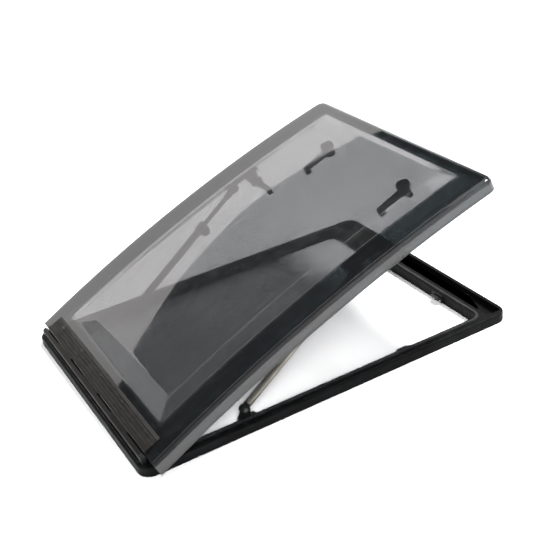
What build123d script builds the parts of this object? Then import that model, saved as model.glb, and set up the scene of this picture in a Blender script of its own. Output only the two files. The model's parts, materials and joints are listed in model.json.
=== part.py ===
from build123d import *
import math
import os

os.makedirs("parts", exist_ok=True)

# ---------------------------------------------------------------------------
# Hinged roof hatch: a bowed double-skin acrylic lid on a surface frame.
# Millimetres. X runs along the hinge, +Y from the hinge to the free edge, +Z up.
# Origin: centre of the frame's underside, on the roof plane.
# The lid pieces are drawn closed (flat on the frame) and then turned open
# about the hinge axis, which is how the part is stored.
# ---------------------------------------------------------------------------

# frame
FRAME_X = 260.0            # half width over the outer walls
FRAME_Y = 370.0            # half length
FRAME_H = 18.0             # height of the frame
FRAME_R = 24.0             # plan corner radius
AP_X = 238.0               # half width of the clear aperture
AP_Y0, AP_Y1 = -300.0, 312.0   # aperture, hinge side and free side
AP_R = 14.0
GUTTER_Y0, GUTTER_Y1 = 330.0, 362.0   # rain gutter in the free end arm
GUTTER_Z = 5.0
SEAL_IN, SEAL_W = 4.0, 6.0     # seal groove: distance from aperture, width
GROOVE_Z = 15.0
SEAL_TOP = 20.6

# mounting holes
HOLE_R = 2.75
HOLE_HEAD_R = 5.5
HOLE_X = 200.0
HOLE_Y0, HOLE_Y1 = -330.0, 346.0

# hinge
HINGE_Y, HINGE_Z = -358.0, 27.0
OPEN_ANGLE = 22.0          # degrees, lid held open on its stays
KNUCKLE_R = 5.5
ROD_R = 2.5
RUN = 0.05                 # radial running clearance
RAIL_X = 236.0             # half length of the rails
KNUCKLES = 7               # alternating, the frame has the odd ones
KNUCKLE_GAP = 0.3

# lid, closed
LID_X = 272.5              # half width over the skirts
LID_Y0, LID_Y1 = -352.0, 382.0
LID_END_Z = 28.0           # outer surface at both ends
BOW = 22.0                 # rise of the outer surface at mid length
PANE_T = 4.0               # outer skin
SKIRT_DROP = 26.0          # outer surface to skirt bottom
SKIRT_R = 7.0              # rounding of the top edge
LID_R = 14.0               # plan corner radius
RAISE = 10.0               # height of the raised centre panel
RAISE_X, RAISE_TOP_X = 210.0, 188.0
RAISE_Y0, RAISE_TOP_Y0 = -301.0, -264.0
RAISE_Y1, RAISE_TOP_Y1 = 350.0, 335.0
INNER_T = 3.0              # inner skin
BORDER_Z = 21.0            # underside of the inner skin's flat border
BORDER_X = 264.0
BORDER_Y0, BORDER_Y1 = -335.0, 372.0
TRAY_X = 238.0
TRAY_Y0, TRAY_Y1 = -302.0, 314.0
TRAY_GAP = 1.5             # inner tray below the outer skin's border

# stays
STAY_X = 222.0             # plane of each stay
BASE_Y, BASE_Z = -167.0, 24.0      # lower pivot
TOP_Y, TOP_Z = 107.0, 24.0         # upper pivot, lid closed
TUBE_R, TUBE_BORE = 7.0, 6.0
TUBE_S0, TUBE_S1 = 12.0, 200.0
STAY_ROD_R = 4.5
ROD_LEN = 190.0
EYE_T = 6.0
PIN_R = 3.0

# latches
FRONT_LATCH = (126.0, 290.0)
SIDE_LATCH = (216.0, 150.0)
LATCH_BASE_Z = 21.0
CAM_REACH = 17.0
HANDLE_LEN = 68.0

# ---------------------------------------------------------------------------
# derived
# ---------------------------------------------------------------------------
CHORD = LID_Y1 - LID_Y0
ARC_R = (CHORD ** 2 / 4 + BOW ** 2) / (2 * BOW)
ARC_Y = (LID_Y0 + LID_Y1) / 2
ARC_Z = LID_END_Z + BOW - ARC_R          # centre of the bow, far below the lid
CROWN = LID_END_Z + BOW                  # outer surface at mid length


def bow(y):
    return math.sqrt(ARC_R ** 2 - (y - ARC_Y) ** 2) - (ARC_R - BOW)


def box(x0, x1, y0, y1, z0, z1):
    return Pos((x0 + x1) / 2, (y0 + y1) / 2, (z0 + z1) / 2) * Box(abs(x1 - x0), abs(y1 - y0), abs(z1 - z0))


def cyl_x(r, x0, x1, y, z):
    return Pos((x0 + x1) / 2, y, z) * Rot(0, 90, 0) * Cylinder(r, abs(x1 - x0))


def cyl_y(r, y0, y1, x, z):
    return Pos(x, (y0 + y1) / 2, z) * Rot(90, 0, 0) * Cylinder(r, abs(y1 - y0))


def cyl_z(r, z0, z1, x, y):
    return Pos(x, y, (z0 + z1) / 2) * Cylinder(r, abs(z1 - z0))


def rbox(x0, x1, y0, y1, z0, z1, r):
    s = RectangleRounded(x1 - x0, y1 - y0, r)
    return Pos((x0 + x1) / 2, (y0 + y1) / 2, z0) * extrude(s, amount=z1 - z0)


def bowed(pts):
    """Section (x, z) at mid length, carried round the bow along the whole lid."""
    face = Plane.XZ * make_face(Polyline(*[(x, z) for x, z in pts], close=True))
    half = math.degrees(math.asin((CHORD / 2 + 40) / ARC_R))
    face = Pos(0, ARC_Y, 0) * face
    axis = Axis((0, ARC_Y, ARC_Z), (1, 0, 0))
    face = face.rotate(axis, -half)
    return revolve(face, axis, 2 * half)


def mirror_x(shape):
    return mirror(shape, about=Plane.YZ)


OPEN = Pos(0, HINGE_Y, HINGE_Z) * Rot(OPEN_ANGLE, 0, 0) * Pos(0, -HINGE_Y, -HINGE_Z)


def opened(shape):
    return OPEN * shape


def write(name, shape):
    parts = list(shape.solids())
    obj = parts[0] if len(parts) == 1 else Compound(children=parts)
    obj.label = name
    export_step(obj, f"parts/{name}.step")
    print(name, len(parts), round(sum(p.volume for p in parts), 1))


# ---------------------------------------------------------------------------
# frame
# ---------------------------------------------------------------------------
frame = rbox(-FRAME_X, FRAME_X, -FRAME_Y, FRAME_Y, 0, FRAME_H, FRAME_R)
top_edges = frame.edges().group_by(Axis.Z)[-1]
frame = fillet(top_edges, 2.5)
frame -= rbox(-AP_X, AP_X, AP_Y0, AP_Y1, -1, FRAME_H + 1, AP_R)
frame -= rbox(-248, 248, GUTTER_Y0, GUTTER_Y1, GUTTER_Z, FRAME_H + 1, 6)
# drain slots through the gutter floor's outer wall
for x in (-150, 150):
    frame -= box(x - 8, x + 8, GUTTER_Y1 - 1, FRAME_Y + 1, GUTTER_Z, GUTTER_Z + 4)
si, so = SEAL_IN, SEAL_IN + SEAL_W


def seal_ring(z0, z1, w0, w1):
    a = rbox(-AP_X - w1, AP_X + w1, AP_Y0 - w1, AP_Y1 + w1, z0, z1, AP_R + w1)
    return a - rbox(-AP_X - w0, AP_X + w0, AP_Y0 - w0, AP_Y1 + w0, z0 - 1, z1 + 1, AP_R + w0)


frame -= seal_ring(GROOVE_Z, FRAME_H + 1, si, so)
for x in (-HOLE_X, 0, HOLE_X):
    frame -= cyl_z(HOLE_R, -1, FRAME_H + 1, x, HOLE_Y0)
    frame -= cyl_z(HOLE_HEAD_R, GUTTER_Z, FRAME_H + 1, x, HOLE_Y0)
    frame -= cyl_z(HOLE_R, -1, FRAME_H + 1, x, HOLE_Y1)

# rubber bulb seal in the groove
seal = seal_ring(GROOVE_Z, SEAL_TOP - 1.5, si, so) + seal_ring(SEAL_TOP - 1.5, SEAL_TOP, si + 1.2, so - 1.2)

# ---------------------------------------------------------------------------
# hinge: two interleaved aluminium rails on one steel rod
# ---------------------------------------------------------------------------
seg = 2 * RAIL_X / KNUCKLES
bore = cyl_x(ROD_R + RUN, -RAIL_X - 20, RAIL_X + 20, HINGE_Y, HINGE_Z)

frame_rail = box(-RAIL_X, RAIL_X, -366, -344, FRAME_H, FRAME_H + 3)
lid_rail = box(-RAIL_X, RAIL_X, -350.5, -318, 24, 33.5)
for i in range(4):
    y0 = -345.0 + i * 6.2
    lid_rail -= box(-RAIL_X - 1, RAIL_X + 1, y0, y0 + 3.0, 32.0, 40)
for i in range(KNUCKLES):
    x0 = -RAIL_X + i * seg + KNUCKLE_GAP / 2
    x1 = x0 + seg - KNUCKLE_GAP
    barrel = cyl_x(KNUCKLE_R, x0, x1, HINGE_Y, HINGE_Z)
    if i % 2 == 0:
        frame_rail += barrel + box(x0, x1, HINGE_Y - 4, HINGE_Y + 4, FRAME_H + 2, HINGE_Z)
    else:
        lid_rail += barrel + box(x0, x1, HINGE_Y, -350, HINGE_Z + 2, HINGE_Z + KNUCKLE_R)
frame_rail -= bore
lid_rail -= bore
SCREW_XS = (-200, -100, 0, 100, 200)      # through the lid's rail
frame_rail_screws = []
for x in (-165, -55, 55, 165):
    frame_rail -= cyl_z(2.0, FRAME_H - 1, FRAME_H + 4, x, -348)
    frame -= cyl_z(2.0, 5, FRAME_H + 1, x, -348)
    frame_rail_screws.append(cyl_z(2.0, 5, FRAME_H + 3, x, -348) + cyl_z(3.2, FRAME_H + 3, FRAME_H + 4.6, x, -348))

hinge_rod = cyl_x(ROD_R, -RAIL_X - 5, RAIL_X + 5, HINGE_Y, HINGE_Z)


def end_cap(s):
    x0, x1 = s * (RAIL_X + 0.3), s * (RAIL_X + 8)
    c = cyl_x(5.4, min(x0, x1), max(x0, x1), HINGE_Y, HINGE_Z)
    c += box(min(x0, x1), max(x0, x1), HINGE_Y - 5.4, HINGE_Y + 4, FRAME_H, HINGE_Z)
    return c - cyl_x(ROD_R, -RAIL_X - 5, RAIL_X + 5, HINGE_Y, HINGE_Z)


# ---------------------------------------------------------------------------
# lid skins, drawn closed
# ---------------------------------------------------------------------------
skirt_z = CROWN - SKIRT_DROP
outer = bowed([(-LID_X - 5, skirt_z), (LID_X + 5, skirt_z), (LID_X + 5, CROWN), (-LID_X - 5, CROWN)])
plan = rbox(-LID_X, LID_X, LID_Y0 - 40, LID_Y1, -60, 120, LID_R) & box(-400, 400, LID_Y0, 500, -100, 200)
outer = outer & plan
top_face = [e for e in outer.faces().sort_by(Axis.Z)[-1].edges() if not (abs(e.center().Y - LID_Y0) < 0.5)]
try:
    outer = fillet(top_face, SKIRT_R)
except Exception as err:
    print("lid edge left square", type(err).__name__)

hollow = bowed([(-LID_X + PANE_T, skirt_z - 60), (LID_X - PANE_T, skirt_z - 60), (LID_X - PANE_T, CROWN - PANE_T), (-LID_X + PANE_T, CROWN - PANE_T)])
hollow = hollow & (rbox(-LID_X + PANE_T, LID_X - PANE_T, LID_Y0 - 60, LID_Y1 - PANE_T, -160, 120, LID_R - PANE_T))


def wedge(y0, ty0, y1, ty1, extra):
    """Sloped end faces of the raised panel, as one prism across the width."""
    zb0, zb1 = LID_END_Z + bow(y0) - extra, LID_END_Z + bow(y1) - extra
    zt0, zt1 = LID_END_Z + bow(ty0) + RAISE - extra, LID_END_Z + bow(ty1) + RAISE - extra
    k0 = (zt0 - zb0) / (ty0 - y0)
    k1 = (zt1 - zb1) / (ty1 - y1)
    a = Plane.YZ * make_face(Polyline((y0 - 60, zb0 - 60 * k0), (ty0 + 120, zt0 + 120 * k0), (ty0 + 120, zb0 - 200), (y0 - 60, zb0 - 200), close=True))
    b = Plane.YZ * make_face(Polyline((y1 + 60, zb1 + 60 * k1), (ty1 - 120, zt1 - 120 * k1), (ty1 - 120, zb1 - 200), (y1 + 60, zb1 - 200), close=True))
    a = extrude(a, amount=400, both=True)
    b = extrude(b, amount=400, both=True)
    a += box(-400, 400, ty0 + 119, y1 + 60, zb0 - 200, 200)
    b += box(-400, 400, y0 - 60, ty1 - 119, zb1 - 200, 200)
    return a & b


raised = bowed([(-RAISE_X, CROWN - 2), (RAISE_X, CROWN - 2), (RAISE_X, CROWN), (RAISE_TOP_X, CROWN + RAISE), (-RAISE_TOP_X, CROWN + RAISE), (-RAISE_X, CROWN)])
raised = raised & wedge(RAISE_Y0, RAISE_TOP_Y0, RAISE_Y1, RAISE_TOP_Y1, 0)
w = PANE_T * 0.45
lower = bowed([(-RAISE_X + w, CROWN - PANE_T - 2), (RAISE_X - w, CROWN - PANE_T - 2), (RAISE_X - w, CROWN - PANE_T), (RAISE_TOP_X - w, CROWN + RAISE - PANE_T), (-RAISE_TOP_X + w, CROWN + RAISE - PANE_T), (-RAISE_X + w, CROWN - PANE_T)])
lower = lower & wedge(RAISE_Y0 + w, RAISE_TOP_Y0 + w, RAISE_Y1 - w, RAISE_TOP_Y1 - w, PANE_T)
outer_pane = (outer + raised) - hollow - lower

# inner skin: flat border on the seal, a bowed tray in the middle and an upturned rim
under = CROWN - PANE_T                      # outer skin's inner surface, at mid length
tray_top = under - TRAY_GAP
tray_bot = tray_top - INNER_T
inner = rbox(-BORDER_X, BORDER_X, BORDER_Y0, BORDER_Y1, BORDER_Z, BORDER_Z + INNER_T, 9)
rim = rbox(-BORDER_X, BORDER_X, BORDER_Y0, BORDER_Y1, BORDER_Z, 90, 9) - rbox(-BORDER_X + 3, BORDER_X - 3, BORDER_Y0 + 3, BORDER_Y1 - 3, 0, 100, 6)
rim = rim & bowed([(-300, -60), (300, -60), (300, under), (-300, under)])
tray = rbox(-TRAY_X, TRAY_X, TRAY_Y0, TRAY_Y1, BORDER_Z, 90, 14) & bowed([(-300, -60), (300, -60), (300, tray_top), (-300, tray_top)])
tray_in = rbox(-TRAY_X + 3, TRAY_X - 3, TRAY_Y0 + 3, TRAY_Y1 - 3, -20, 90, 11) & bowed([(-300, -80), (300, -80), (300, tray_bot), (-300, tray_bot)])
inner_pane = (inner + rim + tray) - tray_in

above_tray = bowed([(-300, tray_bot), (300, tray_bot), (300, tray_bot + 60), (-300, tray_bot + 60)])
PLATE_T = 3.0
above_plate = bowed([(-300, tray_bot - PLATE_T), (300, tray_bot - PLATE_T), (300, tray_bot + 60), (-300, tray_bot + 60)])

# the rail sits on the outer skin
lid_rail -= outer
rail_screws = []
for x in SCREW_XS:
    lid_rail -= cyl_z(2.0, 14, 44, x, -327.9)
    outer_pane -= cyl_z(2.0, 14, 44, x, -327.9)
    rail_screws.append(cyl_z(2.0, 25.5, 32, x, -327.9) + cyl_z(3.0, 32.0, 33.4, x, -327.9))
for x in SCREW_XS:
    lid_rail -= cyl_z(3.1, 32.0, 40, x, -327.9)

# ---------------------------------------------------------------------------
# stays
# ---------------------------------------------------------------------------
dy, dz = TOP_Y - HINGE_Y, TOP_Z - HINGE_Z
a = math.radians(OPEN_ANGLE)
TOP_OPEN_Y = HINGE_Y + dy * math.cos(a) - dz * math.sin(a)
TOP_OPEN_Z = HINGE_Z + dy * math.sin(a) + dz * math.cos(a)
STAY_OPEN = math.hypot(TOP_OPEN_Y - BASE_Y, TOP_OPEN_Z - BASE_Z)
STAY_CLOSED = math.hypot(TOP_Y - BASE_Y, TOP_Z - BASE_Z)
STAY_ANGLE = math.degrees(math.atan2(TOP_OPEN_Z - BASE_Z, TOP_OPEN_Y - BASE_Y))
print("stay open", STAY_OPEN, "closed", STAY_CLOSED, "angle", STAY_ANGLE, "top", TOP_OPEN_Y, TOP_OPEN_Z)
ALONG = Pos(0, BASE_Y, BASE_Z) * Rot(STAY_ANGLE, 0, 0)    # local +Y runs up the stay
E0, E1 = STAY_X - EYE_T / 2, STAY_X + EYE_T / 2
EAR0, EAR1 = E1 + 0.5, E1 + 4.5
TOP_E0, TOP_E1 = STAY_X - STAY_ROD_R - 0.1, STAY_X + STAY_ROD_R + 0.1
LUG0, LUG1 = TOP_E1 + 0.5, TOP_E1 + 4.5     # the upper pivot stays 0.5 mm apart sideways


def stay_parts():
    p = {}
    eye = cyl_x(8.5, E0, E1, 0, 0) + box(E0, E1, 0, 12, -5.5, 5.5) + cyl_y(6.9, 9.2, 12.0, STAY_X, 0)
    eye += cyl_y(TUBE_BORE - 0.02, 12.0, 30.0, STAY_X, 0)
    p["tube_end"] = ALONG * (eye - cyl_x(PIN_R + RUN, E0 - 1, E1 + 1, 0, 0))
    tube = cyl_y(TUBE_R, TUBE_S0, TUBE_S1, STAY_X, 0) - cyl_y(TUBE_BORE, TUBE_S0 - 1, TUBE_S1 + 1, STAY_X, 0)
    p["stay_tube"] = ALONG * tube
    bush = cyl_y(TUBE_BORE - 0.02, TUBE_S1 - 14, TUBE_S1, STAY_X, 0) - cyl_y(STAY_ROD_R + RUN, 0, 300, STAY_X, 0)
    p["tube_bush"] = ALONG * bush
    collar = cyl_y(10, TUBE_S1 - 16, TUBE_S1 + 6, STAY_X, 0) + box(STAY_X - 12, STAY_X - 6, TUBE_S1 - 14, TUBE_S1 + 4, -6, 6)
    collar -= cyl_y(TUBE_R + 0.02, TUBE_S1 - 20, TUBE_S1 + 0.02, STAY_X, 0)
    collar -= cyl_y(STAY_ROD_R + RUN, TUBE_S1 - 1, TUBE_S1 + 10, STAY_X, 0)
    collar -= cyl_x(2.55, STAY_X - 20, STAY_X - 5, TUBE_S1 - 6, 0)
    p["clamp_collar"] = ALONG * collar
    knob = cyl_x(9.5, STAY_X - 22, STAY_X - 13, TUBE_S1 - 6, 0) + cyl_x(5, STAY_X - 13, STAY_X - 12.2, TUBE_S1 - 6, 0)
    for k in range(8):
        ang = math.radians(k * 45)
        knob -= cyl_x(1.8, STAY_X - 23, STAY_X - 12.9, TUBE_S1 - 6 + 10.2 * math.cos(ang), 10.2 * math.sin(ang))
    stud = cyl_x(2.5, STAY_X - 18, STAY_X - TUBE_R - 0.05, TUBE_S1 - 6, 0)
    knob -= stud
    p["clamp_knob"] = ALONG * knob
    p["clamp_stud"] = ALONG * stud
    s1 = STAY_OPEN
    rod = cyl_y(STAY_ROD_R, s1 - 10 - ROD_LEN, s1 - 10, STAY_X, 0)
    p["stay_rod"] = ALONG * rod
    top = cyl_x(8.5, TOP_E0, TOP_E1, s1, 0) + box(TOP_E0, TOP_E1, s1 - 16, s1, -5, 5) + cyl_y(6.5, s1 - 26, s1 - 13, STAY_X, 0)
    top -= box(TOP_E1, TOP_E1 + 10, s1 - 30, s1 + 10, -10, 10)
    top -= rod
    top += cyl_x(5.0, TOP_E0 - 2.0, TOP_E0, s1, 0)
    p["rod_eye"] = ALONG * top
    return p


stay = stay_parts()

# bracket on the side arm, the tube's eye turns on its pin
bracket = box(EAR0, AP_X, BASE_Y - 16, BASE_Y + 16, 1, 14)
ear = box(EAR0, EAR1, BASE_Y - 16, BASE_Y + 16, 1, 14) + cyl_x(8.5, EAR0, EAR1, BASE_Y, BASE_Z)
gus = Plane.YZ * make_face(Polyline((BASE_Y - 16, 14), (BASE_Y + 8.2, 14), (BASE_Y + 8.2, BASE_Z + 1), (BASE_Y - 8.2, BASE_Z + 2.2), close=True))
ear += Pos(EAR0, 0, 0) * extrude(gus, amount=EAR1 - EAR0)
bracket = bracket + ear - cyl_x(PIN_R, EAR0 - 1, EAR1 + 1, BASE_Y, BASE_Z)
bracket_screws = []
for y in (BASE_Y - 11, BASE_Y + 11):
    bracket -= cyl_x(1.75, EAR0 - 1, AP_X + 1, y, 7)
    frame -= cyl_x(1.75, AP_X - 1, AP_X + 9, y, 7)
    frame -= cyl_x(1.75, -AP_X - 9, -AP_X + 1, y, 7)
    bracket_screws.append(cyl_x(1.75, EAR0, AP_X + 9, y, 7) + cyl_x(3.0, EAR0 - 1.6, EAR0, y, 7))
base_pin = cyl_x(PIN_R, E0 - 0.3, EAR1, BASE_Y, BASE_Z) + cyl_x(5.0, E0 - 2.5, E0 - 0.3, BASE_Y, BASE_Z) + cyl_x(4.6, EAR1, EAR1 + 1.5, BASE_Y, BASE_Z)

# plate on the lid: ear for the stay, seat for the side latch
plate = box(204, 233, 90, 168, 24, 60) - above_tray
plate = plate & above_plate
lug = box(LUG0, LUG1, TOP_Y - 8.5, TOP_Y + 8.5, TOP_Z, 60) + cyl_x(8.5, LUG0, LUG1, TOP_Y, TOP_Z)
side_plate = plate + (lug - above_plate)
top_pin = cyl_x(PIN_R, LUG0, LUG1, TOP_Y, TOP_Z) + cyl_x(4.6, LUG1, LUG1 + 1.5, TOP_Y, TOP_Z)
side_plate -= cyl_x(PIN_R, LUG0 - 1, LUG1 + 1, TOP_Y, TOP_Z)
plate_screws = []
for (x, y) in ((210, 97), (210, 122)):
    side_plate -= cyl_z(1.75, 14, 60, x, y)
    zb = tray_bot - PLATE_T + bow(y) - BOW
    plate_screws.append((cyl_z(1.75, zb - 0.5, 60, x, y) & bowed([(-300, 0), (300, 0), (300, tray_bot), (-300, tray_bot)])) + cyl_z(3.2, zb - 2.0, zb - 0.4, x, y))

# ---------------------------------------------------------------------------
# latches: fixed housing, steel spindle, lever with handle and cam
# ---------------------------------------------------------------------------


def latch(x, y, top_solid, top_z, handle, cam):
    base = cyl_z(13, LATCH_BASE_Z, 70, x, y) - top_solid
    base -= cyl_z(PIN_R + RUN, LATCH_BASE_Z - 1, top_z - 1.5, x, y)
    washer = cyl_z(8.5, LATCH_BASE_Z - 1, LATCH_BASE_Z, x, y) - cyl_z(PIN_R + RUN, 0, 60, x, y)
    lever = cyl_z(9, 4, LATCH_BASE_Z - 1.05, x, y)
    hx, hy = handle
    cx, cy = cam
    ang = math.degrees(math.atan2(hy, hx))
    arm = Pos(x, y, 0) * Rot(0, 0, ang) * (
        extrude(Plane.XY.offset(11) * make_face(Polyline((0, -7.5), (HANDLE_LEN - 8, -4.5), (HANDLE_LEN - 8, 4.5), (0, 7.5), close=True)), amount=7)
        + cyl_z(4.5, 11, 18, HANDLE_LEN - 8, 0) + box(HANDLE_LEN - 14, HANDLE_LEN - 3.5, -4.5, 4.5, 3, 18))
    ang = math.degrees(math.atan2(cy, cx))
    nose = Pos(x, y, 0) * Rot(0, 0, ang) * (box(0, CAM_REACH - 4, -5, 5, 4, 9) + cyl_z(5, 4, 9, CAM_REACH - 5, 0))
    lever = lever + arm + nose
    spindle = cyl_z(PIN_R, 4, top_z - 2.0, x, y) + cyl_z(6, 2.4, 4, x, y)
    lever -= cyl_z(PIN_R, 0, 40, x, y)
    return base, washer, lever, spindle


fz = tray_bot + bow(FRONT_LATCH[1]) - BOW
sz = tray_bot - PLATE_T + bow(SIDE_LATCH[1]) - BOW
front = latch(FRONT_LATCH[0], FRONT_LATCH[1], above_tray, fz - 1.5, (0, -1), (1, 0))
side = latch(SIDE_LATCH[0], SIDE_LATCH[1], above_plate, sz - 1.0, (-1, 0), (0, 1))

front_striker = box(FRONT_LATCH[0] - 14, FRONT_LATCH[0] + 14, AP_Y1 - 3, AP_Y1, 1, 17) + box(FRONT_LATCH[0] - 11, FRONT_LATCH[0] + 11, AP_Y1 - 10, AP_Y1 - 2, 10, 14)
side_striker = box(AP_X - 3, AP_X, SIDE_LATCH[1] - 14, SIDE_LATCH[1] + 14, 1, 17) + box(AP_X - 10, AP_X - 2, SIDE_LATCH[1] - 11, SIDE_LATCH[1] + 11, 10, 14)
striker_screws = []
for dx in (-9, 9):
    x = FRONT_LATCH[0] + dx
    front_striker -= cyl_y(1.75, AP_Y1 - 4, AP_Y1 + 1, x, 5.5)
    for sx in (-1, 1):
        frame -= cyl_y(1.75, AP_Y1 - 1, AP_Y1 + 9, sx * x, 5.5)
    striker_screws.append(cyl_y(1.75, AP_Y1 - 3, AP_Y1 + 9, x, 5.5) + cyl_y(3.0, AP_Y1 - 4.4, AP_Y1 - 3, x, 5.5))
    y = SIDE_LATCH[1] + dx
    side_striker -= cyl_x(1.75, AP_X - 4, AP_X + 1, y, 5.5)
    frame -= cyl_x(1.75, AP_X - 1, AP_X + 9, y, 5.5)
    frame -= cyl_x(1.75, -AP_X - 9, -AP_X + 1, y, 5.5)
    striker_screws.append(cyl_x(1.75, AP_X - 3, AP_X + 9, y, 5.5) + cyl_x(3.0, AP_X - 4.4, AP_X - 3, y, 5.5))

# ---------------------------------------------------------------------------
# files
# ---------------------------------------------------------------------------
write("base_frame", frame)
write("frame_seal", seal)
write("frame_hinge_rail", frame_rail)
write("frame_rail_screws", Compound(children=[s.solid() for s in frame_rail_screws]))
write("hinge_rod", hinge_rod)
write("hinge_end_caps", Compound(children=[end_cap(-1).solid(), end_cap(1).solid()]))
write("stay_bracket_right", bracket)
write("stay_bracket_left", mirror_x(bracket))
both = lambda items: Compound(children=[q for s in items for q in list(s.solids()) + list(mirror_x(s).solids())])
write("stay_bracket_screws", both(bracket_screws))
write("stay_base_pins", both([base_pin]))
write("front_strikers", both([front_striker]))
write("side_strikers", both([side_striker]))
write("striker_screws", both(striker_screws))

write("outer_pane", opened(outer_pane))
write("inner_pane", opened(inner_pane))
write("lid_hinge_rail", opened(lid_rail))
write("lid_rail_screws", opened(Compound(children=[s.solid() for s in rail_screws])))
write("side_plate_right", opened(side_plate))
write("side_plate_left", opened(mirror_x(side_plate)))
write("side_plate_screws", opened(both(plate_screws)))
write("stay_top_pins", opened(both([top_pin])))
names = (("front", front), ("side", side))
for n, (b, wsh, lev, spi) in names:
    write(f"latch_base_{n}_right", opened(b))
    write(f"latch_base_{n}_left", opened(mirror_x(b)))
    write(f"latch_lever_{n}_right", opened(lev))
    write(f"latch_lever_{n}_left", opened(mirror_x(lev)))
    write(f"latch_spindle_{n}_right", opened(spi))
    write(f"latch_spindle_{n}_left", opened(mirror_x(spi)))
write("latch_washers", opened(both([front[1], side[1]])))
for k, v in stay.items():
    write(f"{k}_right", v)
    write(f"{k}_left", mirror_x(v))
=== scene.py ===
import json
import math

import bmesh
import bpy
from mathutils import Matrix, Vector

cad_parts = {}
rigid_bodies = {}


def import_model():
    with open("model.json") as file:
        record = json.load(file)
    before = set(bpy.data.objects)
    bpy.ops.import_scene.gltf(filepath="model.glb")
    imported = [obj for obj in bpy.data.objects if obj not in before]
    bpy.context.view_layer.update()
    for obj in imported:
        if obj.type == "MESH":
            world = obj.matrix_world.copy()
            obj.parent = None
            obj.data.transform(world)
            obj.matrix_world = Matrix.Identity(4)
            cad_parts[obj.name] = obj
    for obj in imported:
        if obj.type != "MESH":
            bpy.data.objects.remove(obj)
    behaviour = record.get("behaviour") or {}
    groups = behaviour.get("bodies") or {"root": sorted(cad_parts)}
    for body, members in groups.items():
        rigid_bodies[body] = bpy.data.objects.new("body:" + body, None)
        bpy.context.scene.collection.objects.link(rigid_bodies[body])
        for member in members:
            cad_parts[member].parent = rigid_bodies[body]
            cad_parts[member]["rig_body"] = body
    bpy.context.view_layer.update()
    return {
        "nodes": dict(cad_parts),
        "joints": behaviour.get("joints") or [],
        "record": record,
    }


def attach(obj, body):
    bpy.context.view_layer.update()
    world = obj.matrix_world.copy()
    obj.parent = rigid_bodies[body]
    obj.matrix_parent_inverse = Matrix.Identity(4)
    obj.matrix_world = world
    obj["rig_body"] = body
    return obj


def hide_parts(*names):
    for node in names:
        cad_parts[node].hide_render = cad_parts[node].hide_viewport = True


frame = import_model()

nodes = frame["nodes"]
record = frame["record"]
scene = bpy.context.scene
MM = 0.001

joints = {j["name"]: j for j in frame["joints"]}
HINGE = joints["lid_hinge"]
HY, HZ = HINGE["pos_m"][1], HINGE["pos_m"][2]
OPEN = math.radians(-HINGE["range_deg"][0])        # the lid stands open at rest

# ---------------------------------------------------------------------------
# node tree helper
# ---------------------------------------------------------------------------


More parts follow.
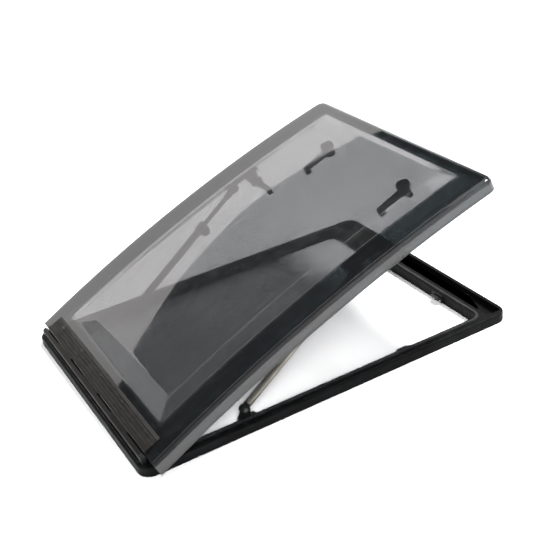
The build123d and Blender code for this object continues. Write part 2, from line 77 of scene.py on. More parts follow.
class Mat:
    def __init__(self, name):
        self.m = bpy.data.materials.new(name)
        self.m.use_nodes = True
        self.t = self.m.node_tree
        self.t.nodes.clear()
        self.out = self.t.nodes.new("ShaderNodeOutputMaterial")

    def n(self, kind, *ins, **kw):
        node = self.t.nodes.new("ShaderNode" + kind)
        named = kw.pop("named", {})
        for k, v in kw.items():
            setattr(node, k, v)
        for i, v in enumerate(ins):
            self.put(node.inputs[i], v)
        for k, v in named.items():
            self.put(node.inputs[k], v)
        return node

    def put(self, socket, v):
        if v is None:
            return
        if isinstance(v, bpy.types.NodeSocket):
            self.t.links.new(v, socket)
        elif isinstance(v, (int, float)) and socket.type in ("RGBA", "VECTOR"):
            socket.default_value = (v, v, v, 1) if socket.type == "RGBA" else (v, v, v)
        elif isinstance(v, (tuple, list)) and socket.type == "RGBA" and len(v) == 3:
            socket.default_value = (*v, 1)
        else:
            socket.default_value = v

    def math(self, op, a, b=None, c=None, clamp=False):
        node = self.n("Math", a, b, c, operation=op, use_clamp=clamp)
        return node.outputs[0]

    def mix(self, f, a, b):
        node = self.t.nodes.new("ShaderNodeMix")
        node.data_type = "RGBA"
        self.put(node.inputs[0], f)
        self.put(node.inputs[6], a)
        self.put(node.inputs[7], b)
        return node.outputs[2]

    def fmix(self, f, a, b):
        node = self.t.nodes.new("ShaderNodeMix")
        node.data_type = "FLOAT"
        self.put(node.inputs[0], f)
        self.put(node.inputs[2], a)
        self.put(node.inputs[3], b)
        return node.outputs[0]

    def ramp(self, f, lo, hi, a=0.0, b=1.0, smooth=True):
        node = self.n("MapRange", f, lo, hi, a, b)
        node.interpolation_type = "SMOOTHSTEP" if smooth else "LINEAR"
        return node.outputs[0]

    def coord(self):
        if not hasattr(self, "_c"):
            self._c = self.n("TexCoord").outputs["Object"]
        return self._c

    def closed(self):
        """Object coordinates turned back to the closed lid, in metres."""
        if not hasattr(self, "_k"):
            v = self.n("VectorRotate", named={"Vector": self.coord(), "Center": (0, HY, HZ), "Angle": -OPEN}, rotation_type="X_AXIS")
            self._k = v.outputs[0]
        return self._k

    def scaled(self, v, s):
        return self.n("Mapping", v, (0, 0, 0), (0, 0, 0), s).outputs[0]

    def noise(self, scale, detail=3.0, rough=0.55, v=None, distort=0.0):
        node = self.n("TexNoise", named={"Vector": v or self.coord(), "Scale": scale, "Detail": detail, "Roughness": rough, "Distortion": distort})
        return node.outputs["Fac"]

    def voronoi(self, scale, v=None, feature="F1", out="Distance"):
        node = self.n("TexVoronoi", feature=feature, named={"Vector": v or self.coord(), "Scale": scale})
        return node.outputs[out]

    def bump(self, height, strength=0.2, distance=0.0003, normal=None):
        return self.n("Bump", named={"Strength": strength, "Distance": distance, "Height": height, "Normal": normal}).outputs[0]

    def edge(self, radius=0.0015):
        """1 along sharp edges, 0 on flats."""
        b = self.n("Bevel", radius, samples=4).outputs[0]
        g = self.n("NewGeometry").outputs["Normal"]
        d = self.n("VectorMath", b, g, operation="DOT_PRODUCT").outputs["Value"]
        return self.ramp(d, 0.995, 0.90, 0.0, 1.0)

    def surface(self, shader):
        self.t.links.new(shader, self.out.inputs["Surface"])
        return self.m


# ---------------------------------------------------------------------------
# materials
# ---------------------------------------------------------------------------


def moulded(name, base, rough=0.42, grain=0.25, wear=0.35, dust=0.10, spec=0.5, scale=1.0):
    """Textured moulded plastic: fine grain, flow mottling, rubbed edges and a little dust."""
    m = Mat(name)
    blotch = m.noise(14 * scale, 4, 0.6)
    mid = m.noise(90 * scale, 3, 0.5)
    fine = m.noise(1700 * scale, 2, 0.6)
    pits = m.voronoi(1100 * scale)
    e = m.math("MULTIPLY", m.edge(0.0012), m.ramp(m.noise(160, 5, 0.7), 0.42, 0.68))
    up = m.n("SeparateXYZ", m.n("NewGeometry").outputs["Normal"]).outputs[2]
    d = m.math("MULTIPLY", m.ramp(up, 0.35, 1.0), m.ramp(m.noise(38, 6, 0.72), 0.45, 0.8))
    dark = tuple(c * 0.72 for c in base)
    light = tuple(min(1, c * 1.5 + 0.001) for c in base)
    col = m.mix(m.ramp(blotch, 0.3, 0.7), dark, light)
    col = m.mix(m.math("MULTIPLY", d, dust), col, (0.22, 0.21, 0.19))
    col = m.mix(m.math("MULTIPLY", e, wear), col, tuple(min(1, c * 3 + 0.10) for c in base))
    r = m.math("ADD", m.ramp(mid, 0.3, 0.7, rough - 0.07, rough + 0.08), m.math("MULTIPLY", d, 0.25))
    r = m.math("SUBTRACT", r, m.math("MULTIPLY", e, 0.10), clamp=True)
    h = m.math("ADD", m.math("MULTIPLY", fine, 0.6), m.math("MULTIPLY", pits, 0.4))
    nrm = m.bump(h, grain, 0.00025)
    nrm = m.bump(mid, 0.05, 0.0008, nrm)
    p = m.n("BsdfPrincipled", named={"Base Color": col, "Roughness": r, "Normal": nrm, "Specular IOR Level": spec})
    return m.surface(p.outputs[0])


def rubber(name):
    m = Mat(name)
    e = m.noise(420, 4, 0.65)
    s = m.noise(1500, 2, 0.5)
    bloom = m.ramp(m.noise(26, 5, 0.7), 0.45, 0.75)
    col = m.mix(bloom, (0.010, 0.010, 0.011), (0.030, 0.030, 0.032))
    nrm = m.bump(m.math("ADD", e, s), 0.3, 0.0002)
    p = m.n("BsdfPrincipled", named={"Base Color": col, "Roughness": m.ramp(e, 0.3, 0.7, 0.62, 0.85), "Normal": nrm, "Specular IOR Level": 0.35})
    return m.surface(p.outputs[0])


GROOVES = [(-0.3450 + i * 0.0062, -0.3420 + i * 0.0062) for i in range(4)]


def extruded(name):
    """Dark bronze anodised extrusion: drawing lines along the length, worn ridges, darker grooves."""
    m = Mat(name)
    v = m.scaled(m.closed(), (2.0, 420.0, 420.0))
    lines = m.noise(1.0, 1, 0.5, v)
    v2 = m.scaled(m.closed(), (5.0, 130.0, 60.0))
    streak = m.noise(1.0, 2, 0.55, v2)
    e = m.math("MULTIPLY", m.edge(0.0012), m.ramp(m.noise(120, 5, 0.7), 0.35, 0.62))
    grime = m.ramp(m.noise(45, 3, 0.6), 0.42, 0.72)
    col = m.mix(m.ramp(streak, 0.35, 0.68), (0.0030, 0.0026, 0.0024), (0.0085, 0.0073, 0.0066))
    col = m.mix(m.math("MULTIPLY", grime, 0.30), col, (0.016, 0.0143, 0.013))
    # the lengthwise grooves are darker, a paler rubbed land beside the lid
    yc = m.n("SeparateXYZ", m.closed()).outputs[1]
    for a, b in GROOVES:
        g = m.math("MULTIPLY", m.ramp(yc, a - 0.0002, a + 0.0003), m.ramp(yc, b - 0.0003, b + 0.0002, 1.0, 0.0))
        col = m.mix(m.math("MULTIPLY", g, 0.8), col, (0.0015, 0.0014, 0.0013))
    land = m.math("MULTIPLY", m.ramp(yc, -0.3236, -0.3230), m.ramp(m.noise(30, 3, 0.6), 0.2, 0.6, 0.4, 1.0))
    col = m.mix(m.math("MULTIPLY", land, 0.45), col, (0.045, 0.042, 0.040))
    col = m.mix(m.math("MULTIPLY", e, 0.50), col, (0.20, 0.19, 0.18))
    r = m.math("ADD", m.ramp(streak, 0.3, 0.7, 0.36, 0.52), m.math("MULTIPLY", grime, 0.16))
    nrm = m.bump(lines, 0.22, 0.0002)
    p = m.n("BsdfPrincipled", named={"Base Color": col, "Metallic": 0.35, "Roughness": r, "Normal": nrm, "Specular IOR Level": 0.08})
    return m.surface(p.outputs[0])


def drawn_tube(name, base=(0.21, 0.20, 0.175), metal=0.75):
    """Satin drawn tube: lines along the tube, handling marks, dull patches."""
    m = Mat(name)
    a = math.radians(0)
    stay = joints["stay_slide_right"]["axis"]
    tilt = math.atan2(stay[2], stay[1])
    v = m.n("VectorRotate", named={"Vector": m.coord(), "Angle": -tilt}, rotation_type="X_AXIS").outputs[0]
    lines = m.noise(1.0, 3, 0.6, m.scaled(v, (1300.0, 10.0, 1300.0)))
    rub = m.ramp(m.noise(1.0, 5, 0.65, m.scaled(v, (160.0, 40.0, 160.0))), 0.4, 0.7)
    spots = m.ramp(m.voronoi(420), 0.0, 0.16, 1.0, 0.0)
    col = m.mix(rub, tuple(c * 0.72 for c in base), base)
    col = m.mix(m.math("MULTIPLY", spots, 0.25), col, (0.12, 0.11, 0.10))
    r = m.ramp(rub, 0, 1, 0.46, 0.30)
    nrm = m.bump(lines, 0.16, 0.0001)
    p = m.n("BsdfPrincipled", named={"Base Color": col, "Metallic": metal, "Roughness": r, "Normal": nrm})
    return m.surface(p.outputs[0])


def zinc(name):
    m = Mat(name)
    fl = m.voronoi(900, out="Color")
    v = m.n("SeparateXYZ", fl).outputs[0]
    b = m.ramp(m.noise(220, 5, 0.7), 0.4, 0.7)
    col = m.mix(v, (0.42, 0.42, 0.40), (0.60, 0.60, 0.58))
    col = m.mix(m.math("MULTIPLY", b, 0.5), col, (0.17, 0.15, 0.12))
    # the screws in the hinge rails are blackened
    at_hinge = m.ramp(m.n("SeparateXYZ", m.coord()).outputs[1], -0.325, -0.315, 1.0, 0.0)
    col = m.mix(m.math("MULTIPLY", at_hinge, 0.93), col, (0.016, 0.015, 0.014))
    nrm = m.bump(m.noise(1500, 3, 0.6), 0.18, 0.0001)
    p = m.n("BsdfPrincipled", named={"Base Color": col, "Metallic": 0.95, "Roughness": m.ramp(b, 0, 1, 0.28, 0.55), "Normal": nrm})
    return m.surface(p.outputs[0])


def nylon(name):
    m = Mat(name)
    b = m.noise(300, 4, 0.6)
    col = m.mix(b, (0.60, 0.58, 0.52), (0.72, 0.70, 0.64))
    p = m.n("BsdfPrincipled", named={"Base Color": col, "Roughness": m.ramp(b, 0.3, 0.7, 0.38, 0.52), "Subsurface Weight": 0.15, "Subsurface Radius": (0.002, 0.002, 0.002), "Normal": m.bump(m.noise(1400, 2), 0.15, 0.0001)})
    return m.surface(p.outputs[0])


def acrylic(name, centre, border, bx, by0, by1, soft=0.006, haze=0.03, gain=1.0, skirt=0.0):
    """Tinted sheet acrylic. centre and border are what one face lets through; the border ring lies
    outside |x| = bx, y = by0..by1 on the closed lid. Both faces reflect as acrylic does."""
    m = Mat(name)
    k = m.closed()
    s = m.n("SeparateXYZ", k)
    x = m.math("ABSOLUTE", s.outputs[0])
    y = s.outputs[1]
    wav = m.math("MULTIPLY", m.math("SUBTRACT", m.noise(9, 3, 0.5, k), 0.5), 0.004)
    bx_m = m.ramp(m.math("ADD", x, wav), bx - soft, bx + soft)
    y0_m = m.ramp(m.math("ADD", y, wav), by0 - soft, by0 + soft, 1.0, 0.0)
    y1_m = m.ramp(m.math("ADD", y, wav), by1 - soft, by1 + soft)
    ring = m.math("MAXIMUM", bx_m, m.math("MAXIMUM", y0_m, y1_m))
    # slight unevenness of the dye, and a drawn look where the sheet was stretched
    cloud = m.noise(5.5, 4, 0.55, k)
    tint_c = m.mix(cloud, tuple(c * 0.94 for c in centre), tuple(min(1, c * 1.05) for c in centre))
    tint_b = m.mix(m.noise(12, 4, 0.6, k), tuple(c * 0.80 for c in border), tuple(min(1, c * 1.2) for c in border))
    tint = m.mix(ring, tint_c, tint_b)
    # surface film: dust, dried drops and wiping marks
    dustn = m.ramp(m.noise(55, 3, 0.65, k), 0.46, 0.80)
    specks = m.math("MULTIPLY", m.ramp(m.voronoi(650, k), 0.0, 0.20, 1.0, 0.0), m.ramp(m.noise(75, 3, 0.6, k), 0.5, 0.7))
    wipe = m.ramp(m.noise(1.0, 5, 0.65, m.scaled(k, (18.0, 4.0, 18.0)), 0.6), 0.40, 0.72)
    film_and_sheen = m.math("ADD", m.math("MULTIPLY", dustn, haze), m.math("MULTIPLY", specks, haze * 1.6))
    film_and_sheen = m.math("ADD", film_and_sheen, m.math("MULTIPLY", wipe, haze * 0.5))
    film_and_sheen = m.math("ADD", film_and_sheen, haze * 0.35, clamp=True)
    if skirt:
        # painted sheen: a pale cloudy film on the turned-down skirt stands in for the light band of its reflection;
        # it is mottled like scuffs, most of all half-way down
        xs = m.ramp(x, 0.2640, 0.2705)
        ye = m.ramp(y, 0.3735, 0.3800)
        skirt_sheen = m.math("MAXIMUM", xs, m.math("MULTIPLY", ye, 0.35))
        sheen_mottle = m.ramp(m.noise(1.0, 5, 0.65, m.scaled(k, (60.0, 12.0, 90.0)), 0.4), 0.25, 0.75, 0.72, 1.0)
        skirt_sheen = m.math("MULTIPLY", skirt_sheen, m.math("MULTIPLY", sheen_mottle, skirt))
        # the painted sheen is weak along the cut edge, which stays a dark line, and grows brighter towards the free
        # end
        t = m.math("DIVIDE", m.math("SUBTRACT", y, 0.015), 0.367)
        low = m.math("SUBTRACT", 0.024, m.math("MULTIPLY", m.math("MULTIPLY", t, t), 0.022))
        above = m.math("SUBTRACT", s.outputs[2], low)
        skirt_sheen = m.math("MULTIPLY", skirt_sheen, m.ramp(above, 0.0022, 0.0085, 0.12, 1.0))
        skirt_sheen = m.math("MULTIPLY", skirt_sheen, m.ramp(y, -0.33, 0.30, 0.60, 1.25))
        # from here the film also carries the painted sheen of the skirt
        film_and_sheen = m.math("MAXIMUM", film_and_sheen, skirt_sheen)
    # fine scratches and the faint waviness of a formed sheet
    scr = m.n("TexVoronoi", feature="DISTANCE_TO_EDGE", named={"Vector": m.scaled(k, (26.0, 9.0, 26.0)), "Scale": 1.0}).outputs["Distance"]
    scr = m.ramp(scr, 0.0, 0.006, 1.0, 0.0)
    scr = m.math("MULTIPLY", scr, m.ramp(m.noise(30, 3, 0.6, k), 0.52, 0.7))
    nrm = m.bump(m.noise(7, 2, 0.4, k), 0.05, 0.004)
    nrm = m.bump(scr, 0.06, 0.0001, nrm)
    rgh = m.math("ADD", m.ramp(wipe, 0, 1, 0.010, 0.030), m.math("MULTIPLY", dustn, 0.02))
    geo = m.n("NewGeometry")
    ior = m.ramp(geo.outputs["Backfacing"], 0, 1, 1.49, 1 / 1.49, smooth=False)
    fres = m.n("Fresnel", named={"IOR": ior, "Normal": nrm}).outputs[0]
    fres = m.math("MULTIPLY", fres, gain, clamp=True)
    clear = m.n("BsdfTransparent", tint).outputs[0]
    dust_and_sheen_col = m.mix(ring, (0.30, 0.305, 0.30), (0.16, 0.17, 0.175))
    # painted sheen: on the skirt the film is a pale diffuse colour
    if skirt:
        dust_and_sheen_col = m.mix(xs, dust_and_sheen_col, (0.36, 0.35, 0.36))
    dull = m.n("BsdfDiffuse", dust_and_sheen_col, 0.3).outputs[0]
    body = m.n("MixShader", film_and_sheen, clear, dull).outputs[0]
    glo = m.n("BsdfAnisotropic", named={"Color": (1, 1, 1), "Roughness": rgh, "Normal": nrm}).outputs[0]
    return m.surface(m.n("MixShader", fres, body, glo).outputs[0])


def floor_mat():
    m = Mat("studio_floor")
    n1 = m.noise(1.2, 4, 0.5)
    col = m.mix(n1, (0.80, 0.80, 0.80), (0.83, 0.83, 0.83))
    p = m.n("BsdfPrincipled", named={"Base Color": col, "Roughness": 0.8, "Specular IOR Level": 0.1})
    return m.surface(p.outputs[0])


def backdrop_mat():
    m = Mat("studio_backdrop")
    m.m.cycles.emission_sampling = "NONE"
    return m.surface(m.n("Emission", (1, 1, 1), 1.0).outputs[0])


MATS = {
    "frame_plastic": moulded("frame_black_moulding", (0.0016, 0.0017, 0.0019), 0.46, 0.30, 0.12, 0.02, spec=0.05),
    "black_plastic": moulded("satin_black_moulding", (0.0045, 0.0050, 0.0054), 0.40, 0.22, 0.18, 0.03, spec=0.15),
    "seal_rubber": rubber("black_seal_rubber"),
    "dark_rail": extruded("dark_anodised_extrusion"),
    "stay_metal": drawn_tube("satin_stay_tube"),
    "steel": zinc("zinc_plated_steel"),
    "pale_nylon": nylon("natural_nylon"),
    # skirt=0.075 sets the strength of the painted sheen on the outer skin's skirt
    "smoked_acrylic": acrylic("smoked_outer_acrylic", (0.490, 0.488, 0.494), (0.135, 0.155, 0.160), 0.212, -0.304, 0.352, haze=0.022, skirt=0.075),
    "inner_acrylic": acrylic("smoked_inner_acrylic", (0.80, 0.805, 0.805), (0.66, 0.68, 0.68), 0.236, -0.318, 0.351, haze=0.012),
}
slot_of = {s["node"]: s["material_slot"] for s in record["subparts"]}


def dress(o, slot):
    o.data.materials.clear()
    o.data.materials.append(MATS[slot])


for name, o in nodes.items():
    dress(o, slot_of[name])

# ---------------------------------------------------------------------------
# lid shape, closed, millimetres
# ---------------------------------------------------------------------------
LX, LY0, LY1, END_Z, BOWH = 272.5, -352.0, 382.0, 28.0, 22.0
CH = LY1 - LY0
AR = (CH ** 2 / 4 + BOWH ** 2) / (2 * BOWH)
YC = (LY0 + LY1) / 2
TH = 4.0
DROP = 26.0
CORNER = 14.0
ROUND = 9.0


def bow(y):
    return math.sqrt(AR ** 2 - (y - YC) ** 2) - (AR - BOWH)


def ramp_round(d, w, h, rho):
    """0 below d = 0, h above d = w, straight between, both bends rounded over rho."""
    def g(u):
        if u <= 0:
            return 0.0
        if u >= w:
            return h * w / 2 + h * (u - w)
        return h * u * u / (2 * w)
    return (g(d + rho) - g(d - rho)) / (2 * rho)


def raise_at(x, y):
    rho = 2.6
    a = ramp_round(210.0 - abs(x), 22.0, 10.0, rho)
    b = ramp_round(y + 301.0, 37.0, 10.0, rho)
    c = ramp_round(350.0 - y, 15.0, 10.0, rho)
    k = 2.2
    v = b if b < c else c
    h = max(k - abs(a - v), 0.0) / k
    r = (min(a, v) - h * h * k / 4) * 10.0 / (10.0 - k / 4)
    return max(r, 0.0)


def lines(*spans):
    """Sorted grid positions from (start, end, step) spans."""
    out = []
    for a, b, s in spans:
        n = max(1, int(round((b - a) / s)))
        out += [a + (b - a) * i / n for i in range(n + 1)]
    out = sorted(out)
    keep = [out[0]]
    for v in out[1:]:
        if v - keep[-1] > 0.05:
            keep.append(v)
    return keep


def rounded(x, y, hx, y0, y1, r, d, open_hinge=False):
    """Moves a grid point that lies on the ring d inside the outline onto that ring's rounded corner."""
    rr = r - d
    if rr <= 0.01:
        return x, y
    sx = 1 if x > 0 else -1
    cx = hx - d - rr
    for yc, sy in ((y1 - d - rr, 1), (y0 + d + rr, -1)):
        if sy < 0 and open_hinge:
            continue
        px, py = abs(x) - cx, (y - yc) * sy
        if px > 0 and py > 0:
            q = math.hypot(px, py)
            # square corner zone to round one: keep the larger of the two as the ring distance
            ring = max(px, py)
            return sx * (cx + px / q * ring), yc + sy * py / q * ring
    return x, y


def to_open(p):
    x, y, z = p[0] * MM, p[1] * MM - HY, p[2] * MM - HZ
    return Vector((x, HY + y * math.cos(OPEN) - z * math.sin(OPEN), HZ + y * math.sin(OPEN) + z * math.cos(OPEN)))


def mesh_object(name, verts, faces, body, slot, replaces=(), smooth=True):
    me = bpy.data.meshes.new(name)
    me.from_pydata([tuple(v) for v in verts], [], faces)
    me.validate()
    me.update()
    o = bpy.data.objects.new(name, me)
    scene.collection.objects.link(o)
    for p in me.polygons:
        p.use_smooth = smooth
    dress(o, slot)
    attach(o, body)
    if replaces:
        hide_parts(*replaces)
    return o


def apply_mods(o):
    dg = bpy.context.evaluated_depsgraph_get()
    dg.update()
    me = bpy.data.meshes.new_from_object(o.evaluated_get(dg), preserve_all_data_layers=True, depsgraph=dg)
    old = o.data
    o.modifiers.clear()
    o.data = me
    bpy.data.meshes.remove(old)
    me.name = o.name
    return o


def finish_shell(o, thick, bevel=0.5, offset=-1.0):
    s = o.modifiers.new("thick", "SOLIDIFY")
    s.thickness = thick * MM
    s.offset = offset
    s.use_even_offset = True
    s.use_quality_normals = True
    if bevel:
        b = o.modifiers.new("rim", "BEVEL")
        b.width = bevel * MM
        b.segments = 3
        b.limit_method = "ANGLE"
        b.angle_limit = math.radians(50)
        b.use_clamp_overlap = True
    w = o.modifiers.new("wn", "WEIGHTED_NORMAL")
    w.keep_sharp = True
    return apply_mods(o)


def outer_shell():
    """Outer skin: bowed top with the raised panel, rounded shoulder, skirts on three sides."""
    r = ROUND
    side = r                       # the top grid stops where the shoulder starts
    hx = LX - side
    xs = lines((-hx, -hx + 6, 1.5), (-hx + 6, -216, 8), (-216, -182, 1.25), (-182, 182, 13), (182, 216, 1.25), (216, hx - 6, 8), (hx - 6, hx, 1.5))
    ys = lines((LY0, -308, 6), (-308, -256, 1.6), (-256, 326, 11), (326, 356, 1.25), (356, LY1 - side - 6, 4), (LY1 - side - 6, LY1 - side, 1.5))
    verts, faces, idx = [], [], {}
    for j, y in enumerate(ys):
        for i, x in enumerate(xs):
            d = min(LX - abs(x), LY1 - y)
            px, py = rounded(x, y, LX, LY0, LY1, CORNER + 4, d, True)
            idx[i, j] = len(verts)
            verts.append((px, py, END_Z + bow(min(max(py, LY0), LY1)) + raise_at(px, py)))
    for j in range(len(ys) - 1):
        for i in range(len(xs) - 1):
            faces.append((idx[i, j], idx[i + 1, j], idx[i + 1, j + 1], idx[i, j + 1]))
    # boundary path: up the -X side, across the free edge, down the +X side
    path = [idx[0, j] for j in range(len(ys))]
    path += [idx[i, len(ys) - 1] for i in range(1, len(xs))]
    path += [idx[len(xs) - 1, j] for j in range(len(ys) - 2, -1, -1)]
    # outward direction of each boundary point, in plan
    pts = [verts[i] for i in path]
    out = []
    for k, p in enumerate(pts):
        a, b = pts[max(k - 1, 0)], pts[min(k + 1, len(pts) - 1)]
        tx, ty = b[0] - a[0], b[1] - a[1]
        q = math.hypot(tx, ty)
        out.append((-ty / q, tx / q))
    out[0], out[-1] = (-1.0, 0.0), (1.0, 0.0)
    prof = []
    for s in range(1, 10):
        a = math.radians(90 * s / 9)
        prof.append((r * math.sin(a), -r * (1 - math.cos(a))))
    for s in range(1, 6):
        prof.append((r, -r - (DROP - r) * s / 5))
    prev = path
    for ox, dz in prof:
        cur = []
        for k, p in enumerate(pts):
            x, y = p[0] + out[k][0] * ox, p[1] + out[k][1] * ox
            cur.append(len(verts))
            verts.append((x, y, END_Z + bow(min(max(y, LY0), LY1)) + dz))
        for k in range(len(cur) - 1):
            faces.append((prev[k], prev[k + 1], cur[k + 1], cur[k]))
        prev = cur
    o = mesh_object("outer_skin", [to_open(v) for v in verts], faces, "lid", "smoked_acrylic", ("outer_pane",))
    fix_normals(o, to_open((0, 0, 400)))
    return finish_shell(o, TH, 0.7)


def fix_normals(o, towards):
    """Makes a sheet's faces look to the side where that point is."""
    bm = bmesh.new()
    bm.from_mesh(o.data)
    bmesh.ops.recalc_face_normals(bm, faces=bm.faces)
    c = Vector((0, 0, 0))
    s = 0.0
    for f in bm.faces:
        s += f.normal.dot((towards - f.calc_center_median()).normalized()) * f.calc_area()
    if s < 0:
        bmesh.ops.reverse_faces(bm, faces=bm.faces)
    bm.to_mesh(o.data)
    bm.free()


outer = outer_shell()


def inner_shell():
    """Inner skin: bowed tray, wall down to the flat border on the seal, rim turned up to the outer skin."""
    T = 3.0
    bx, by0, by1, bz = 264.0, -335.0, 372.0, 24.0       # top face of the flat border
    tx, ty0, ty1 = 238.0, -302.0, 314.0
    top = lambda y: END_Z + bow(min(max(y, LY0), LY1)) - TH - 1.5

    def ring(hx, y0, y1, r, n=8):
        """Points round a rounded rectangle, starting on the +X side, same count for each ring."""
        pts = []
        for cx, cy, a0 in ((hx - r, y1 - r, 0), (-hx + r, y1 - r, 90), (-hx + r, y0 + r, 180), (hx - r, y0 + r, 270)):
            for i in range(n + 1):
                a = math.radians(a0 + 90 * i / n)
                pts.append((cx + r * math.cos(a), cy + r * math.sin(a)))
        full = []
        m = len(pts)
        for i, p in enumerate(pts):
            q = pts[(i + 1) % m]
            full.append(p)
            if i % (n + 1) == n:
                k = 40 if i // (n + 1) in (1, 3) else 14
                # sides along Y carry more points than sides along X
                k = 14 if i // (n + 1) in (0, 2) else 40
                for j in range(1, k):
                    full.append((p[0] + (q[0] - p[0]) * j / k, p[1] + (q[1] - p[1]) * j / k))
        return full

    loops = []
    R = 3.5

    def add(inset_out, base, zf):
        hx, y0, y1, r = base
        pts = ring(hx + inset_out, y0 - inset_out, y1 + inset_out, max(r + inset_out, 1.0))
        loops.append([(x, y, zf(x, y)) for x, y in pts])

    tray = (tx, ty0, ty1, 14.0)
    brd = (bx, by0, by1, 9.0)
    # upturned rim, from its top down, outer face
    rim_top = lambda x, y: END_Z + bow(min(max(y, LY0), LY1)) - TH - 0.6
    bend = lambda h: min(R, 0.45 * h)                       # bend height where the step is low
    rb = lambda x, y: bend(rim_top(x, y) - bz)
    for f in (0.0, 0.5):
        loops.append([(x, y, rim_top(x, y) * (1 - f) + (bz + rb(x, y)) * f) for x, y in ring(bx - 3, by0 + 3, by1 - 3, 6.0)])
    for i in range(0, 6):
        a = math.radians(90 * i / 5)
        d = -3 - R * (1 - math.cos(a))
        loops.append([(x, y, bz + rb(x, y) * (1 - math.sin(a))) for x, y in ring(bx + d, by0 - d, by1 + d, max(9.0 + d, 2.5))])
    # across the flat border to the tray wall
    for i in range(0, 6):
        a = math.radians(90 * i / 5)
        d = R * (1 - math.sin(a))
        loops.append([(x, y, bz + bend(top(y) - bz) * (1 - math.cos(a))) for x, y in ring(tx + d, ty0 - d, ty1 + d, 14.0 + d)])
    # tray wall and shoulder
    loops.append([(x, y, (bz + top(y)) / 2) for x, y in ring(tx, ty0, ty1, 14.0)])
    for i in range(0, 6):
        a = math.radians(90 * i / 5)
        d = -R * (1 - math.cos(a))
        loops.append([(x, y, top(y) - bend(top(y) - bz) * (1 - math.sin(a))) for x, y in ring(tx + d, ty0 - d, ty1 + d, 14.0 + d)])
    verts, faces = [], []
    n = len(loops[0])
    for lp in loops:
        verts += lp
    for a in range(len(loops) - 1):
        for i in range(n):
            j = (i + 1) % n
            faces.append((a * n + i, a * n + j, (a + 1) * n + j, (a + 1) * n + i))
    # the tray's bowed face: narrowing rings, then one strip down the middle
    d = 0.0
    base = len(verts) - n
    while True:
        d += 7.0 if d < 21 else 15.0
        hx = tx - R - d
        if hx < 8:
            break
        rr = max(14.0 - R - d, 1.5)
        verts += [(x, y, top(y)) for x, y in ring(hx, ty0 + R + d, ty1 - R - d, rr)]
        new = len(verts) - n
        for i in range(n):
            q = (i + 1) % n
            faces.append((base + i, base + q, new + q, new + i))
        base = new
    faces.append(tuple(range(base, base + n)))
    o = mesh_object("inner_skin", [to_open(v) for v in verts], faces, "lid", "inner_acrylic", ("inner_pane",))
    bm = bmesh.new()
    bm.from_mesh(o.data)
    bmesh.ops.triangulate(bm, faces=[f for f in bm.faces if len(f.verts) > 4])
    bm.to_mesh(o.data)
    bm.free()
    for f in o.data.polygons:
        f.use_smooth = True
    fix_normals(o, to_open((0, 0, 900)))
    return finish_shell(o, T, 0.0)


inner = inner_shell()

# ---------------------------------------------------------------------------
# hard parts: cleaned copies of the CAD meshes with real rounded edges
# ---------------------------------------------------------------------------


def rounded_copy(node, width, segments=2, angle=32, name=None):
    src = nodes[node]
    body = src["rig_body"]
    me = src.data.copy()
    bm = bmesh.new()
    bm.from_mesh(me)
    bmesh.ops.remove_doubles(bm, verts=bm.verts, dist=2e-6)
    bmesh.ops.dissolve_limit(bm, angle_limit=math.radians(0.6), verts=bm.verts, edges=bm.edges, delimit={"NORMAL"} if False else set())
    bm.to_mesh(me)
    bm.free()
    me.name = name or node + "_shape"
    o = bpy.data.objects.new(name or node + "_shape", me)
    scene.collection.objects.link(o)
    for p in me.polygons:
        p.use_smooth = True
    if width:
        b = o.modifiers.new("bevel", "BEVEL")
        b.width = width * MM
        b.segments = segments
        b.limit_method = "ANGLE"
        b.angle_limit = math.radians(angle)
        b.use_clamp_overlap = True
        b.harden_normals = False
        b.miter_outer = "MITER_ARC"
    w = o.modifiers.new("wn", "WEIGHTED_NORMAL")
    w.keep_sharp = True
    apply_mods(o)
    dress(o, slot_of[node])
    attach(o, body)
    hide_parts(node)
    return o


BEVELS = {
    "base_frame": 0.8, "frame_hinge_rail": 0.35, "lid_hinge_rail": 0.45, "hinge_end_caps": 0.8,
    "stay_bracket_right": 0.8, "stay_bracket_left": 0.8, "front_strikers": 0.6, "side_strikers": 0.6,
    "side_plate_right": 0.7, "side_plate_left": 0.7,
}
for s in ("right", "left"):
    for n in ("front", "side"):
        BEVELS[f"latch_lever_{n}_{s}"] = 0.9
        BEVELS[f"latch_base_{n}_{s}"] = 0.8
    BEVELS[f"clamp_collar_{s}"] = 0.6
    BEVELS[f"clamp_knob_{s}"] = 0.5
    BEVELS[f"tube_end_{s}"] = 0.5
    BEVELS[f"rod_eye_{s}"] = 0.5
for node, w in BEVELS.items():
    rounded_copy(node, w)

# ---------------------------------------------------------------------------
# studio
# ---------------------------------------------------------------------------
fm = bpy.data.meshes.new("studio_floor")
fm.from_pydata([(-9, -9, -0.0004), (9, -9, -0.0004), (9, 9, -0.0004), (-9, 9, -0.0004)], [], [(0, 1, 2, 3)])
floor = bpy.data.objects.new("studio_floor", fm)
scene.collection.objects.link(floor)
fm.materials.append(floor_mat())

# pale wall all round, for the camera only, so that low views show no dark horizon
ring = [(8.9 * math.cos(math.radians(5 * i)), 8.9 * math.sin(math.radians(5 * i))) for i in range(72)]
wm = bpy.data.meshes.new("studio_backdrop")
wm.from_pydata([(x, y, z) for z in (-0.0004, 9.0) for x, y in ring], [], [(i, (i + 1) % 72, 72 + (i + 1) % 72, 72 + i) for i in range(72)])
wall = bpy.data.objects.new("studio_backdrop", wm)
scene.collection.objects.link(wall)
wm.materials.append(backdrop_mat())
wall.visible_diffuse = wall.visible_glossy = wall.visible_transmission = False
wall.visible_volume_scatter = wall.visible_shadow = False

world = bpy.data.worlds.new("studio")
scene.world = world
world.use_nodes = True
world.node_tree.nodes["Background"].inputs[0].default_value = (0.88, 0.96, 1.0, 1)
world.node_tree.nodes["Background"].inputs[1].default_value = 0.17


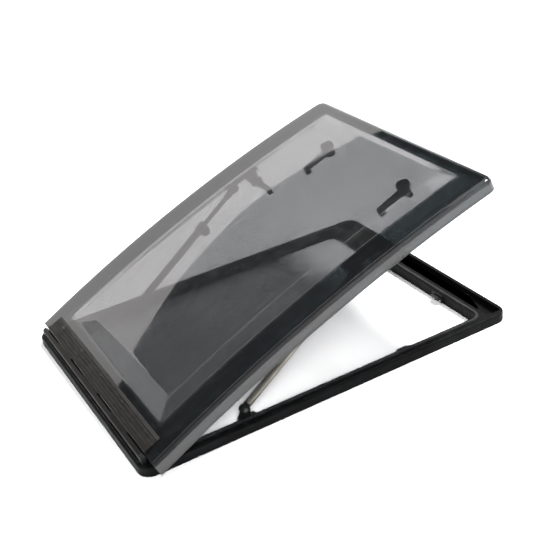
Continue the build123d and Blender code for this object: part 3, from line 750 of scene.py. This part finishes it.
def softbox(name, centre, xdir, zdir, w, h, radiance, colour=(1, 1, 1)):
    """Rectangular softbox of that brightness. It shines along -zdir; xdir is its width."""
    l = bpy.data.lights.new(name, "AREA")
    l.shape = "RECTANGLE"
    l.size, l.size_y = w, h
    l.energy = radiance * math.pi * w * h
    l.color = colour
    o = bpy.data.objects.new(name, l)
    scene.collection.objects.link(o)
    x = Vector(xdir).normalized()
    z = Vector(zdir).normalized()
    y = z.cross(x).normalized()
    m = Matrix((x, y, z)).transposed().to_4x4()
    m.translation = Vector(centre)
    o.matrix_world = m
    o.visible_camera = False
    return o


# tall softbox on the far side, its top edge a little slanted: the lid mirrors it
sl = math.radians(12.3)
softbox("far_softbox_low", (-2.5, -2.20, 0.95), (0, 1, 0), (-1, 0, 0), 1.15, 1.5, 1.0)
softbox("far_softbox", (-2.5, 0.435, 1.084), (0, math.cos(sl), math.sin(sl)), (-1, 0, 0), 4.2, 1.75, 2.15, (1.0, 0.965, 0.955))
# overhead softbox
softbox("top_softbox", (-0.10, 1.20, 2.9), (1, 0, 0), (0, 0, 1), 1.6, 1.3, 2.2)
# long strip high on the far side: only the bends of the raised panel mirror it
st = Vector((-1.55, -0.2, 2.5))
softbox("strip_softbox", st, (0, 1, 0), st - Vector((0, -0.2, 0.1)), 4.2, 0.45, 2.6)
# small one beyond the free end, for the lid's corner and rim
rm = Vector((-0.85, 3.6, 1.15))
softbox("rim_softbox", rm, (1, 0, 0), rm, 1.7, 1.1, 4.0, (0.93, 0.97, 1.0))

sun = bpy.data.lights.new("key", "SUN")
sun.energy = 6.4
sun.angle = math.radians(15)
so = bpy.data.objects.new("key", sun)
scene.collection.objects.link(so)
so.rotation_mode = "QUATERNION"
so.rotation_quaternion = Vector((0.0, 0.45, 0.89)).to_track_quat("Z", "Y")

# ---------------------------------------------------------------------------
# camera
# ---------------------------------------------------------------------------
F, AZ, EL, ROLL = 1001.597, math.radians(63.468), math.radians(29.225), math.radians(-7.216)
TX, TY, D = -24.522, -95.455, 1914.621
back = Vector((math.sin(AZ) * math.cos(EL), -math.cos(AZ) * math.cos(EL), math.sin(EL)))
fw = -back
right = fw.cross(Vector((0, 0, 1))).normalized()
up = right.cross(fw)
c0 = right * math.cos(ROLL) + up * math.sin(ROLL)
c1 = -right * math.sin(ROLL) + up * math.cos(ROLL)
pos = (c0 * -TX + c1 * -TY + fw * -D) * MM
cam = bpy.data.cameras.new("camera")
cam.sensor_width = 36
cam.sensor_fit = "HORIZONTAL"
cam.lens = F / 560 * 36
cam.clip_start = 0.01
co = bpy.data.objects.new("camera", cam)
scene.collection.objects.link(co)
m = Matrix((c0, c1, -fw)).transposed().to_4x4()
m.translation = pos
co.matrix_world = m
scene.camera = co

# front softbox, beside and above the camera: it reaches in under the open lid
fc = pos * 1.06 + Vector((0, 0, 0.10))
fill = softbox("front_softbox", fc, c0, (fc - Vector((0.1, 0.05, 0.0))).normalized(), 0.8, 0.6, 37.0)
fill.visible_glossy = False

scene.view_settings.view_transform = "Standard"
scene.view_settings.look = "None"
scene.cycles.transparent_max_bounces = 24
scene.cycles.max_bounces = 10
scene.cycles.use_denoising = True
scene.cycles.denoising_input_passes = "RGB"
scene.cycles.caustics_reflective = False
scene.cycles.caustics_refractive = False
scene.cycles.sample_clamp_indirect = 3.0
